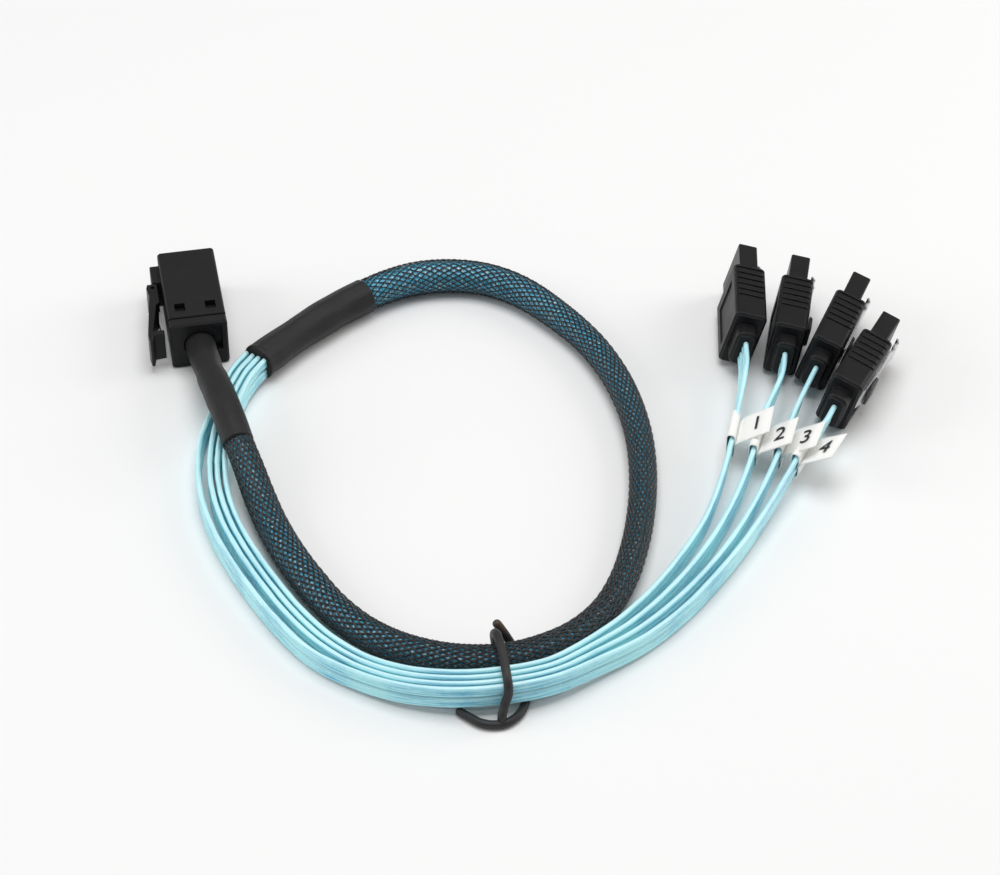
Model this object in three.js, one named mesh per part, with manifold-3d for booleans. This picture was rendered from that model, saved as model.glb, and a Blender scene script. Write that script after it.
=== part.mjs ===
// Mini-SAS HD to four SATA breakout cable, lying on a table. Millimetres, +Z up.
// The origin is the middle of the mini-SAS HD plug's underside, and the plug points along +Y.
import * as THREE from 'three';
import { mergeVertices } from 'three/addons/utils/BufferGeometryUtils.js';
import Module from 'manifold-3d';

const wasm = await Module();
wasm.setup();

const DEG = Math.PI / 180;

// Fits
const GAP = 0.3; // between pieces that touch
const CUT = 1; // how far a cutter runs past the face that it opens

// Mini-SAS HD plug
const SAS = {
  width: 13.2, length: 27.4, height: 12.5, corner: 0.9,
  coverLength: 2.9, wall: 1.3, mouthDepth: 15.5,
  windowWidth: 2.4, windowLength: 2.8, windowDepth: 0.7, windowFromRear: 5.2, windowSpacing: 7.0,
  cableHoleRadius: 3.7, exitHeight: 6.4, bossLength: 1.6, bossDiameter: 6.2, bossCorner: 3.0,
  sillWidth: 2.2, sillDepth: 1.4, keyWidth: 1.6, keyHeight: 0.7, keyFromFront: 2.4,
};
const CARD = {
  thickness: 1.0, height: 8.8, length: 17.5, apart: 5.8, setBack: 1.2,
  contacts: 9, pitch: 0.75, padWidth: 0.42, padLength: 2.6, padProud: 0.15, padSetBack: 0.8,
};
const LEVER = {
  height: 7.4, standOff: 3.6, flare: 1.3, thickness: 1.1, pivotFromFront: 9.4, pinHole: 0.45,
  mountLength: 6.2, mountProud: 2.1, tail: 1.3, clearance: 1.1, wallThickness: 1.5,
  windowFromRear: 2.3, springThickness: 0.4, springFoot: 0.9, hinge: 5.4, cheek: 1.2, mountFromFront: 1.5,
};

// SATA plug, in its own frame: X is its thickness, +Y its nose, Z stands on its narrow edge
const SATA = {
  thickness: 7.5, length: 18.3, height: 14.8, corner: 1.2, edge: 0.5,
  ribs: 6, ribPitch: 1.95, ribGroove: 0.75, ribDepth: 0.45, firstGroove: 1.0,
  panelLength: 12.5, panelHeight: 9.4, panelDepth: 0.35, panelFromRear: 2.4,
  reliefThickness: 4.9, reliefHeight: 9.4, reliefLength: 3.6, reliefCorner: 1.7,
  channelHeight: 7.0, channelDepth: 1.3, channelFromRear: 0.6,
};
const NOSE = {
  thickness: 4.4, height: 13.0, length: 8.6, seat: 3.0, corner: 0.4,
  slotThickness: 2.2, slotHeight: 10.6, slotDepth: 7.0, keyReach: 0.7, keyHeight: 1.7,
};
const WAFER = {
  thickness: 0.5, height: 9.4, length: 5.6,
  contacts: 7, pitch: 1.27, contactWidth: 0.6, contactProud: 0.35, contactLength: 4.6,
};
const CLIP = {
  thickness: 0.4, height: 5.6, rootFromRear: 2.8, rise: 1.0, standOff: 1.3,
  reach: 6.4, bump: 0.55, tailLength: 1.6, rampEnd: 3.2, flatEnd: 7.8, bend: 10.6,
};
const PAD = { length: 4.6, height: 6.0, thickness: 0.75, corner: 0.8, edge: 0.35, seat: 0.15 };

// Where each SATA plug stands: its body's front, then its turn and its lean in degrees
const PLUGS = [
  { x: 123.7, y: -4.9, turn: -12.4, lean: 14.6 },
  { x: 135.3, y: -10.6, turn: -19.7, lean: 8.7 },
  { x: 144.4, y: -17.9, turn: -32.3, lean: 16.1 },
  { x: 147.0, y: -32.6, turn: -37.6, lean: 14.6 },
];

// Cable
const SHRINK_RADIUS = 3.3;
const BREAKOUT_RADIUS = 4.3;
const SLEEVE_RADIUS = 3.4;
const RIBBON = {
  width: 2.7, thickness: 1.3, chamfer: 0.36, rowPitch: 3.0, columnPitch: 1.65, bottom: 0.15, outerSpread: 0.9,
};
const TIE_RADIUS = 1.1;
const TAG = { length: 9, width: 8.5, thickness: 0.4, lift: 35, clearance: 1.0, place: 0.5 };

// Routes are measured from the plug's rear face, at table height
const BOOT_ROUTE = [
  [0.0, 0.9, 6.4], [0.2, -4.0, 7.0], [0.8, -9.0, 8.4], [1.5, -16.0, 9.7], [2.4, -23.5, 9.9],
  [3.4, -31.0, 9.3], [4.4, -37.0, 8.3],
];
const SLEEVE_ROUTE = [
  [4.45, -37.35, 8.25], [5.7, -44.0, 6.5], [7.0, -51.5, 4.6], [8.6, -60.0, 3.7], [10.8, -69.0, 3.6],
  [13.8, -78.0, 3.6], [17.9, -87.4, 3.6], [22.6, -94.6, 3.7], [28.8, -101.2, 4.2],
  [36.0, -106.3, 5.0], [43.0, -109.3, 5.7], [50.3, -110.4, 6.0], [58.4, -108.7, 5.5],
  [66.4, -104.6, 4.4], [73.6, -98.3, 3.7], [79.3, -90.3, 3.6], [83.8, -81.0, 3.6],
  [87.6, -70.5, 3.6], [90.7, -58.5, 3.6], [92.5, -46.0, 3.6], [92.6, -34.0, 3.6],
  [91.2, -23.0, 3.6], [88.1, -12.0, 3.6], [82.9, -1.5, 3.6], [76.0, 8.3, 3.6],
  [68.3, 14.3, 3.7], [60.0, 16.9, 3.9], [52.0, 17.0, 4.2], [45.6, 15.2, 4.4], [40.5, 13.1, 4.4],
];
const BREAKOUT_ROUTE = [
  [40.0, 12.85, 4.4], [33.1, 9.0, 4.4], [25.3, 3.7, 4.4], [18.1, -1.7, 4.4], [12.4, -6.4, 4.4],
];
// The middle of the eight ribbons, from the breakout to where they fan out
const TRUNK_ROUTE = [
  [12.0, -6.8, 1.3], [9.0, -10.0, 1.0], [5.7, -15.2, 0.4], [2.8, -22.0, 0.0], [0.0, -31.0, 0.0],
  [-1.7, -39.8, 0.0], [-2.1, -49.0, 0.0], [-1.0, -59.0, 0.0], [1.6, -69.4, 0.0],
  [5.2, -80.0, 0.0], [9.3, -89.8, 0.0], [14.4, -98.6, 0.0], [21.2, -106.6, 0.4],
  [29.6, -112.5, 1.2], [39.6, -116.3, 2.1], [50.0, -117.4, 2.5], [59.2, -116.0, 2.0],
];
// The middle of each pair, from the fan to its plug, with the height of the pair's middle
const TAIL_ROUTES = [
  [[68.0, -108.6, 4.2], [76.6, -102.4, 3.4], [85.0, -94.9, 3.2], [93.2, -85.9, 3.3], [100.3, -76.6, 3.6],
    [105.9, -66.6, 4.2], [110.6, -56.4, 5.2], [114.6, -46.4, 6.5]],
  [[68.4, -110.5, 4.2], [77.6, -104.8, 3.4], [86.8, -97.4, 3.2], [95.2, -89.0, 3.3], [102.7, -79.8, 3.5],
    [109.0, -70.4, 4.1], [114.4, -60.8, 5.1], [119.4, -50.2, 6.5]],
  [[68.8, -112.4, 4.2], [78.6, -107.0, 3.4], [88.2, -100.0, 3.2], [97.4, -91.6, 3.3], [105.6, -82.4, 3.5],
    [112.6, -73.0, 4.1], [119.2, -62.8, 5.2], [125.6, -51.6, 6.6]],
  [[69.2, -114.4, 4.2], [79.4, -109.4, 3.4], [89.4, -102.4, 3.2], [98.9, -93.6, 3.3], [107.6, -84.2, 3.5],
    [115.4, -74.6, 4.2], [122.6, -65.2, 5.4], [129.4, -56.6, 6.8]],
];
const TIE_ROUTE = [
  [38.6, -122.6, 1.2], [42.6, -124.6, 1.2], [47.0, -125.9, 1.2], [51.4, -124.6, 1.2],
  [54.0, -121.2, 1.2], [54.4, -116.0, 1.2], [53.8, -110.5, 1.2], [52.6, -106.6, 2.0],
  [51.4, -105.2, 5.0], [50.6, -105.8, 8.6], [50.2, -108.6, 11.0], [50.0, -112.4, 11.2],
  [50.2, -117.2, 10.5], [50.3, -121.7, 8.9], [49.8, -122.6, 5.6], [49.0, -122.4, 3.9],
];
const TIE_TAIL = [[50.1, -110.6, 11.2], [49.6, -112.6, 12.6], [48.8, -111.0, 14.2], [47.9, -108.0, 15.4]];

// Helpers: closed geometry to a manifold solid and back
function toSolid(geometry) {
  const bare = geometry.index ? geometry.toNonIndexed() : geometry.clone();
  bare.deleteAttribute('normal');
  bare.deleteAttribute('uv');
  const merged = mergeVertices(bare, 1e-4);
  const vertProperties = new Float32Array(merged.attributes.position.array);
  const triVerts = new Uint32Array(merged.index.array);
  return new wasm.Manifold(new wasm.Mesh({ numProp: 3, vertProperties, triVerts }));
}

function toGeometry(solid) {
  const mesh = solid.getMesh();
  const geometry = new THREE.BufferGeometry();
  geometry.setAttribute('position', new THREE.BufferAttribute(mesh.vertProperties, 3));
  geometry.setIndex(new THREE.BufferAttribute(mesh.triVerts, 1));
  geometry.computeVertexNormals();
  return geometry;
}

function box(x0, x1, y0, y1, z0, z1) {
  const geometry = new THREE.BoxGeometry(x1 - x0, y1 - y0, z1 - z0);
  geometry.translate((x0 + x1) / 2, (y0 + y1) / 2, (z0 + z1) / 2);
  return toSolid(geometry);
}

function roundedRect(width, height, radius) {
  const w = width / 2 - radius;
  const h = height / 2 - radius;
  const shape = new THREE.Shape();
  shape.absarc(w, h, radius, 0, 90 * DEG);
  shape.absarc(-w, h, radius, 90 * DEG, 180 * DEG);
  shape.absarc(-w, -h, radius, 180 * DEG, 270 * DEG);
  shape.absarc(w, -h, radius, 270 * DEG, 360 * DEG);
  return shape;
}

// A rounded section in X and Z, run along Y from y0 to y1, its end edges eased by bevel
function barAlongY(width, height, radius, y0, y1, { x = 0, z = 0, bevel = 0, curveSegments = 2 } = {}) {
  const shape = roundedRect(width - 2 * bevel, height - 2 * bevel, Math.max(radius - bevel, 0.05));
  const geometry = new THREE.ExtrudeGeometry(shape, {
    depth: y1 - y0 - 2 * bevel, curveSegments,
    bevelEnabled: bevel > 0, bevelThickness: bevel, bevelSize: bevel, bevelSegments: 1,
  });
  geometry.rotateX(90 * DEG);
  geometry.translate(x, y1 - bevel, z);
  return toSolid(geometry);
}

// A flat outline in X and Y, raised from z0 to z1
function plateFromOutline(points, z0, z1) {
  const shape = new THREE.Shape(points.map(([x, y]) => new THREE.Vector2(x, y)));
  const geometry = new THREE.ExtrudeGeometry(shape, { depth: z1 - z0, bevelEnabled: false });
  geometry.translate(0, 0, z0);
  return toSolid(geometry);
}

// The outline of a strip of sheet that follows a line of points
function stripOutline(line, thickness) {
  const left = [];
  const right = [];
  line.forEach(([x, y], i) => {
    const [ax, ay] = line[Math.max(i - 1, 0)];
    const [bx, by] = line[Math.min(i + 1, line.length - 1)];
    const length = Math.hypot(bx - ax, by - ay);
    const nx = (-(by - ay) / length) * (thickness / 2);
    const ny = ((bx - ax) / length) * (thickness / 2);
    left.push([x + nx, y + ny]);
    right.unshift([x - nx, y - ny]);
  });
  return left.concat(right);
}

// A smooth line that carries an upright section: its frames never roll, apart from the lean asked for
class CordPath extends THREE.CatmullRomCurve3 {
  constructor(points, leanAtEnd = 0) {
    super(points.map(([x, y, z]) => new THREE.Vector3(x, y, z)), false, 'centripetal');
    this.leanAtEnd = leanAtEnd;
    this.arcLengthDivisions = 600;
  }

  computeFrenetFrames(steps) {
    const frames = { tangents: [], normals: [], binormals: [] };
    for (let i = 0; i <= steps; i += 1) {
      const u = i / steps;
      const tangent = this.getTangentAt(u);
      const across = new THREE.Vector3(0, 0, 1).cross(tangent).normalize();
      const lean = this.leanAtEnd * DEG * THREE.MathUtils.smoothstep(u, 0.75, 0.97);
      across.applyAxisAngle(tangent, lean);
      frames.tangents.push(tangent);
      frames.normals.push(across);
      frames.binormals.push(tangent.clone().cross(across).normalize());
    }
    return frames;
  }
}

function tube(route, radius, sides, steps) {
  const shape = new THREE.Shape();
  shape.absarc(0, 0, radius, 0, 2 * Math.PI);
  return new THREE.ExtrudeGeometry(shape, {
    steps, extrudePath: new CordPath(route), curveSegments: sides / 2, bevelEnabled: false,
  });
}

// Colours and finishes
const finishes = {
  plugPlastic: { color: 0x232325, roughness: 0.5, metalness: 0.0 },
  nosePlastic: { color: 0x1d1d1f, roughness: 0.4, metalness: 0.0 },
  shellPlastic: { color: 0x26262a, roughness: 0.45, metalness: 0.0 },
  springSteel: { color: 0xb9bcc0, roughness: 0.3, metalness: 1.0 },
  contactGold: { color: 0xc9a24a, roughness: 0.3, metalness: 1.0 },
  cardGreen: { color: 0x1f5a3a, roughness: 0.5, metalness: 0.0 },
  shrinkTube: { color: 0x1a1a1b, roughness: 0.55, metalness: 0.0 },
  sleeve: { color: 0x1f3540, roughness: 0.5, metalness: 0.0 },
  ribbonBlue: { color: 0x6fc3e0, roughness: 0.35, metalness: 0.0 },
  tieRubber: { color: 0x18181a, roughness: 0.6, metalness: 0.0 },
  paper: { color: 0xf1f1ee, roughness: 0.8, metalness: 0.0 },
};

const cable = new THREE.Group();
const bench = new THREE.Group();
bench.position.y = -SAS.length / 2;
cable.add(bench);

function addPiece(parent, name, shape, finish) {
  const geometry = shape.isBufferGeometry ? shape : toGeometry(shape);
  const mesh = new THREE.Mesh(geometry, new THREE.MeshStandardMaterial(finishes[finish]));
  mesh.name = name;
  parent.add(mesh);
}

// Mini-SAS HD plug: one box-like shell with an open mouth in front, and a rear cover
const sasMiddle = SAS.height / 2;
const cardSeatDepth = CARD.setBack + CARD.length - SAS.mouthDepth;
const pivotY = SAS.length - LEVER.pivotFromFront;

function cardX(side) {
  return (side * CARD.apart) / 2;
}

function cardSeat(side) {
  const t = CARD.thickness / 2 + GAP;
  const h = CARD.height / 2 + GAP;
  const back = SAS.length - SAS.mouthDepth - cardSeatDepth - GAP;
  return box(cardX(side) - t, cardX(side) + t, back, SAS.length - 1, sasMiddle - h, sasMiddle + h);
}

function shellWindow(side, y) {
  const x = (side * SAS.windowSpacing) / 2;
  return box(
    x - SAS.windowWidth / 2, x + SAS.windowWidth / 2, y, y + SAS.windowLength,
    SAS.height - SAS.windowDepth, SAS.height + CUT,
  );
}

function latchMount() {
  const front = SAS.length - LEVER.mountFromFront;
  return barAlongY(2 * LEVER.mountProud, LEVER.height, 0.4, front - LEVER.mountLength, front, {
    x: -SAS.width / 2, z: sasMiddle, bevel: 0.2,
  });
}

function sasHousing() {
  const rear = SAS.coverLength + GAP;
  const { width, height, length, wall } = SAS;
  let shell = barAlongY(width, height, SAS.corner, rear, length, { z: sasMiddle, bevel: 0.35 });
  shell = shell.add(latchMount());
  const mouthRear = length - SAS.mouthDepth;
  shell = shell.subtract(
    barAlongY(width - 2 * wall, height - 2 * wall, 0.4, mouthRear, length + CUT, { z: sasMiddle }),
  );
  for (const side of [-1, 1]) {
    shell = shell.subtract(cardSeat(side));
    shell = shell.subtract(shellWindow(side, SAS.windowFromRear));
  }
  const key = box(
    -SAS.keyWidth / 2, SAS.keyWidth / 2, mouthRear - 0.2, length - SAS.keyFromFront,
    wall - 0.2, wall + SAS.keyHeight,
  );
  const boss = barAlongY(
    SAS.bossDiameter, SAS.bossDiameter, SAS.bossCorner, rear - SAS.bossLength, rear + 0.5,
    { z: SAS.exitHeight },
  );
  return shell.add(key).add(boss);
}

function sasRearCover() {
  const radius = SAS.cableHoleRadius;
  const hole = new THREE.CylinderGeometry(radius, radius, SAS.coverLength + 2 * CUT, 20);
  hole.translate(0, SAS.coverLength / 2, SAS.exitHeight);
  const { width, height, coverLength } = SAS;
  const plate = barAlongY(width, height, SAS.corner, 0, coverLength, { z: sasMiddle, bevel: 0.45 });
  const sill = box(
    width / 2 - SAS.wall - SAS.sillWidth, width / 2 - SAS.wall, -CUT, SAS.sillDepth,
    SAS.height * 0.35, SAS.height - SAS.wall,
  );
  return plate.subtract(toSolid(hole)).subtract(sill);
}

function paddleCard(side) {
  const x = cardX(side);
  const y1 = SAS.length - CARD.setBack;
  const y0 = y1 - CARD.length;
  const t = CARD.thickness / 2;
  let card = box(x - t, x + t, y0, y1, sasMiddle - CARD.height / 2, sasMiddle + CARD.height / 2);
  for (let i = 0; i < CARD.contacts; i += 1) {
    const z = sasMiddle + (i - (CARD.contacts - 1) / 2) * CARD.pitch;
    card = card.add(box(
      x - t - CARD.padProud, x + t + CARD.padProud, y1 - CARD.padSetBack - CARD.padLength,
      y1 - CARD.padSetBack, z - CARD.padWidth / 2, z + CARD.padWidth / 2,
    ));
  }
  return card;
}

function sasLever() {
  const face = -SAS.width / 2;
  const outerFront = face - LEVER.standOff;
  const outerRear = outerFront - LEVER.flare;
  const t = LEVER.thickness;
  const inner = face - LEVER.clearance;
  const wallY = LEVER.windowFromRear;
  const hinge = pivotY - LEVER.hinge;
  const z0 = sasMiddle - LEVER.height / 2;
  const z1 = sasMiddle + LEVER.height / 2;
  const arm = plateFromOutline([
    [outerFront + 0.3, pivotY + LEVER.cheek], [outerFront, pivotY], [outerFront + 0.4, pivotY - 3.0],
    [outerRear + 0.5, wallY + 3.0], [outerRear, wallY - 1.2], [outerRear + 0.3, -LEVER.tail],
    [outerRear + 0.9, -LEVER.tail], [outerRear + t + 0.3, wallY - LEVER.wallThickness],
    [inner, wallY - LEVER.wallThickness + 0.3], [inner, wallY], [outerRear + t + 0.2, wallY],
    [outerFront + t + 0.5, hinge - 1.1], [inner, hinge], [inner, pivotY + LEVER.cheek],
  ], z0, z1);
  const hole = new THREE.CylinderGeometry(LEVER.pinHole, LEVER.pinHole, LEVER.height + 2 * CUT, 12);
  hole.rotateX(90 * DEG);
  hole.translate(outerFront + 1.5, pivotY, sasMiddle);
  return arm.subtract(toSolid(hole));
}

function sasLatchSpring() {
  const x = -SAS.width / 2 - LEVER.clearance - LEVER.springThickness / 2;
  const top = pivotY - LEVER.hinge - 1.1 - GAP;
  const foot = LEVER.windowFromRear + LEVER.springFoot;
  const line = [[x, top], [x - 0.3, (top + foot) / 2], [x, foot]];
  const outline = stripOutline(line, LEVER.springThickness);
  return plateFromOutline(outline, sasMiddle - LEVER.height / 4, sasMiddle + LEVER.height / 4);
}

function addSasPlug() {
  addPiece(bench, 'sas_housing', sasHousing(), 'shellPlastic');
  addPiece(bench, 'sas_rear_cover', sasRearCover(), 'shellPlastic');
  addPiece(bench, 'sas_paddle_card_left', paddleCard(-1), 'cardGreen');
  addPiece(bench, 'sas_paddle_card_right', paddleCard(1), 'cardGreen');
  addPiece(bench, 'sas_latch', sasLever(), 'shellPlastic');
  addPiece(bench, 'sas_latch_spring', sasLatchSpring(), 'springSteel');
}

// SATA plug
const halfBody = SATA.thickness / 2;
const sataMiddle = SATA.height / 2;
const clipRootY = -SATA.length + CLIP.rootFromRear;
const clipX = halfBody - SATA.channelDepth + GAP + CLIP.thickness / 2;
const clipTopX = clipX + CLIP.rise;

function ribGrooves(body) {
  let cut = body;
  for (let i = 0; i < SATA.ribs; i += 1) {
    const y1 = -SATA.firstGroove - i * SATA.ribPitch;
    const y0 = y1 - SATA.ribGroove;
    for (const z of [0, SATA.height]) {
      cut = cut.subtract(box(
        -halfBody - CUT, halfBody + CUT, y0, y1, z - SATA.ribDepth, z + SATA.ribDepth,
      ));
    }
  }
  return cut;
}

function noseSeat() {
  return barAlongY(
    NOSE.thickness + 2 * GAP, NOSE.height + 2 * GAP, NOSE.corner + GAP,
    -NOSE.seat - GAP, CUT, { z: sataMiddle },
  );
}

function sataOvermould() {
  const { thickness, length, height, corner, edge } = SATA;
  let body = barAlongY(thickness, height, corner, -length, 0, { z: sataMiddle, bevel: edge });
  body = ribGrooves(body);
  const relief = barAlongY(
    SATA.reliefThickness, SATA.reliefHeight, SATA.reliefCorner,
    -length - SATA.reliefLength, -length + 1, { z: sataMiddle, bevel: 0.6 },
  );
  const panelY = -length + SATA.panelFromRear;
  const panel = box(
    -halfBody - CUT, -halfBody + SATA.panelDepth, panelY, panelY + SATA.panelLength,
    sataMiddle - SATA.panelHeight / 2, sataMiddle + SATA.panelHeight / 2,
  );
  const channel = box(
    halfBody - SATA.channelDepth, halfBody + CUT, -length + SATA.channelFromRear, CUT,
    sataMiddle - SATA.channelHeight / 2, sataMiddle + SATA.channelHeight / 2,
  );
  return body.add(relief).subtract(panel).subtract(channel).subtract(noseSeat());
}

function sataNose() {
  const z0 = sataMiddle - NOSE.slotHeight / 2;
  const shell = barAlongY(
    NOSE.thickness, NOSE.height, NOSE.corner, -NOSE.seat, NOSE.length, { z: sataMiddle, bevel: 0.2 },
  );
  const slot = box(
    -NOSE.slotThickness / 2, NOSE.slotThickness / 2, NOSE.length - NOSE.slotDepth, NOSE.length + CUT,
    z0, z0 + NOSE.slotHeight,
  );
  const key = box(
    0, NOSE.slotThickness / 2 + NOSE.keyReach, NOSE.length - NOSE.slotDepth, NOSE.length + CUT,
    z0, z0 + NOSE.keyHeight,
  );
  return shell.subtract(slot).subtract(key);
}

function sataWafer() {
  const x0 = -NOSE.slotThickness / 2 + GAP;
  const y0 = NOSE.length - NOSE.slotDepth + GAP;
  const x1 = x0 + WAFER.thickness;
  const z0 = sataMiddle - WAFER.height / 2;
  let wafer = box(x0, x1, y0, y0 + WAFER.length, z0, z0 + WAFER.height);
  for (let i = 0; i < WAFER.contacts; i += 1) {
    const z = sataMiddle + (i - (WAFER.contacts - 1) / 2) * WAFER.pitch;
    wafer = wafer.add(box(
      x1 - 0.1, x1 + WAFER.contactProud, y0 + 0.6, y0 + 0.6 + WAFER.contactLength,
      z - WAFER.contactWidth / 2, z + WAFER.contactWidth / 2,
    ));
  }
  return wafer;
}

// The sheet metal latch: rooted at the rear of its channel, humped under the pad, hooked in front
function sataClip() {
  const bladeX = clipX + CLIP.standOff * 0.6;
  const line = [
    [clipX, clipRootY - CLIP.tailLength], [clipX, clipRootY],
    [clipX + CLIP.rise * 0.5, clipRootY + CLIP.rampEnd / 2], [clipTopX, clipRootY + CLIP.rampEnd],
    [clipTopX, clipRootY + CLIP.flatEnd], [clipX + CLIP.standOff * 0.8, clipRootY + CLIP.bend],
    [bladeX, 1.2], [bladeX + CLIP.bump, 2.6], [bladeX, 4.0], [bladeX + CLIP.bump, 5.2],
    [clipX + CLIP.standOff * 0.5, CLIP.reach],
  ];
  const outline = stripOutline(line, CLIP.thickness);
  return plateFromOutline(outline, sataMiddle - CLIP.height / 2, sataMiddle + CLIP.height / 2);
}

function pressPad() {
  const x0 = clipTopX + CLIP.thickness / 2 + PAD.seat;
  const y0 = clipRootY + CLIP.rampEnd;
  const shape = roundedRect(PAD.length, PAD.height, PAD.corner);
  const geometry = new THREE.ExtrudeGeometry(shape, {
    depth: PAD.thickness - PAD.edge, curveSegments: 2, bevelEnabled: true,
    bevelThickness: PAD.edge, bevelSize: PAD.edge, bevelOffset: -PAD.edge, bevelSegments: 1,
  });
  geometry.rotateY(90 * DEG);
  geometry.rotateX(90 * DEG);
  geometry.translate(x0, y0 + PAD.length / 2, sataMiddle);
  return toSolid(geometry).subtract(box(x0 - 2, x0, y0 - 2, y0 + PAD.length + 2, 0, SATA.height));
}

function plugGroup({ x, y, turn, lean }) {
  const group = new THREE.Group();
  group.position.set(x, y, halfBody * Math.sin(Math.abs(lean) * DEG));
  group.rotation.set(0, lean * DEG, turn * DEG, 'ZYX');
  group.updateMatrix();
  return group;
}

function addSataPlug(number, group) {
  bench.add(group);
  addPiece(group, `sata_${number}_overmould`, sataOvermould(), 'plugPlastic');
  addPiece(group, `sata_${number}_nose`, sataNose(), 'nosePlastic');
  addPiece(group, `sata_${number}_wafer`, sataWafer(), 'contactGold');
  addPiece(group, `sata_${number}_latch`, sataClip(), 'springSteel');
  addPiece(group, `sata_${number}_press_pad`, pressPad(), 'plugPlastic');
}

// Ribbons: four columns of two, each standing on its edge, column 0 on the inside of the loop
function trunkPoints(column, row) {
  const path = new CordPath(TRUNK_ROUTE);
  const across = (1.5 - column) * RIBBON.columnPitch;
  const up = RIBBON.bottom + RIBBON.width / 2 + row * RIBBON.rowPitch;
  const last = TRUNK_ROUTE.length - 1;
  return TRUNK_ROUTE.map(([x, y, z], i) => {
    const tangent = path.getTangent(i / last);
    const side = new THREE.Vector3(0, 0, 1).cross(tangent).normalize();
    const apart = column === 3 && i > 3 && i < 12 ? RIBBON.outerSpread : 0;
    const shift = across - apart;
    return [x + side.x * shift, y + side.y * shift, z + up];
  });
}

function tailPoints(column, row, group) {
  const rise = (row - 0.5) * RIBBON.rowPitch;
  const lean = Math.sin(PLUGS[column].lean * DEG);
  const points = TAIL_ROUTES[column].map(([x, y, z]) => [x + rise * lean * 0.3, y, z + rise]);
  for (const back of [7, GAP]) {
    const local = new THREE.Vector3(0, -SATA.length - SATA.reliefLength - back, sataMiddle + rise);
    points.push(local.applyMatrix4(group.matrix).toArray());
  }
  return points;
}

function ribbonGeometry(column, row, group) {
  const route = trunkPoints(column, row).concat(tailPoints(column, row, group));
  const half = RIBBON.thickness / 2;
  const tall = RIBBON.width / 2;
  const chamfer = RIBBON.chamfer;
  const section = new THREE.Shape([
    [half, -tall + chamfer], [half, tall - chamfer], [half - chamfer, tall], [chamfer - half, tall],
    [-half, tall - chamfer], [-half, chamfer - tall], [chamfer - half, -tall], [half - chamfer, -tall],
  ].map(([x, y]) => new THREE.Vector2(x, y)));
  return new THREE.ExtrudeGeometry(section, {
    steps: 44, extrudePath: new CordPath(route, PLUGS[column].lean), bevelEnabled: false,
  });
}

function addCable(groups) {
  addPiece(bench, 'sas_boot_shrink', tube(BOOT_ROUTE, SHRINK_RADIUS, 12, 14), 'shrinkTube');
  addPiece(bench, 'braided_sleeve', tube(SLEEVE_ROUTE, SLEEVE_RADIUS, 12, 44), 'sleeve');
  addPiece(bench, 'breakout_shrink', tube(BREAKOUT_ROUTE, BREAKOUT_RADIUS, 12, 8), 'shrinkTube');
  groups.forEach((group, column) => {
    ['b', 'a'].forEach((letter, row) => {
      addPiece(bench, `ribbon_${column + 1}${letter}`, ribbonGeometry(column, row, group), 'ribbonBlue');
    });
  });
}

function addTie() {
  const ring = toSolid(tube(TIE_ROUTE, TIE_RADIUS, 8, 36));
  const tail = toSolid(tube(TIE_TAIL, TIE_RADIUS, 8, 6));
  addPiece(bench, 'wire_tie', ring.add(tail), 'tieRubber');
}

// A folded paper flag that stands beside its pair of ribbons
function addTag(number, column) {
  const route = TAIL_ROUTES[column];
  const from = new THREE.Vector3(...route[route.length - 2]);
  const to = new THREE.Vector3(...route[route.length - 1]);
  const flag = new THREE.Group();
  flag.position.lerpVectors(from, to, TAG.place);
  flag.rotation.set(0, -TAG.lift * DEG, Math.atan2(from.x - to.x, to.y - from.y), 'ZYX');
  const start = RIBBON.thickness / 2 + TAG.clearance;
  const plate = barAlongY(TAG.width, TAG.thickness, 0.15, -TAG.length / 2, TAG.length / 2, {
    x: start + TAG.width / 2,
  });
  addPiece(flag, `tag_${number}`, plate, 'paper');
  bench.add(flag);
}

addSasPlug();
const plugGroups = PLUGS.map(plugGroup);
plugGroups.forEach((group, i) => addSataPlug(i + 1, group));
addCable(plugGroups);
addTie();
[0, 1, 2, 3].forEach((column) => addTag(column + 1, column));

export default cable;
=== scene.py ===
"""Mini SAS HD to four SATA breakout cable, dressed for rendering. Everything is in metres."""

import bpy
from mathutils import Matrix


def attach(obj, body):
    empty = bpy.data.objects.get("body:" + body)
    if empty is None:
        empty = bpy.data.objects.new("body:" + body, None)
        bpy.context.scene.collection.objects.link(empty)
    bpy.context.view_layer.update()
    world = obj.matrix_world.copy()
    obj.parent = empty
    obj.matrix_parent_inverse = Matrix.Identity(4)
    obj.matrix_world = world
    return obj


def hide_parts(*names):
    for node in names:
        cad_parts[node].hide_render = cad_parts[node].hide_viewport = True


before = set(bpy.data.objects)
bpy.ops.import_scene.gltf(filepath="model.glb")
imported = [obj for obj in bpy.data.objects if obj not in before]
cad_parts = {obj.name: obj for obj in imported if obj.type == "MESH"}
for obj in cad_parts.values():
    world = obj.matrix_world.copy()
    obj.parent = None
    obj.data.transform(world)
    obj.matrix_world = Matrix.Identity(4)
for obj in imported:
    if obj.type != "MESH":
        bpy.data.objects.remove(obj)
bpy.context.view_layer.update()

import math

import bmesh
import bpy
import numpy as np
from bpy.props import FloatProperty, FloatVectorProperty, PointerProperty
from mathutils import Matrix, Vector, noise

bl_info = {
    "name": "Breakout Cable Dresser",
    "version": (1, 0, 0),
    "blender": (4, 5, 0),
    "location": "3D View > Sidebar > Cable",
    "description": "Makes the sleeve, ribbons, shrink tubes, plugs and tags of a mini SAS HD breakout cable",
    "category": "Object",
}

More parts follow.
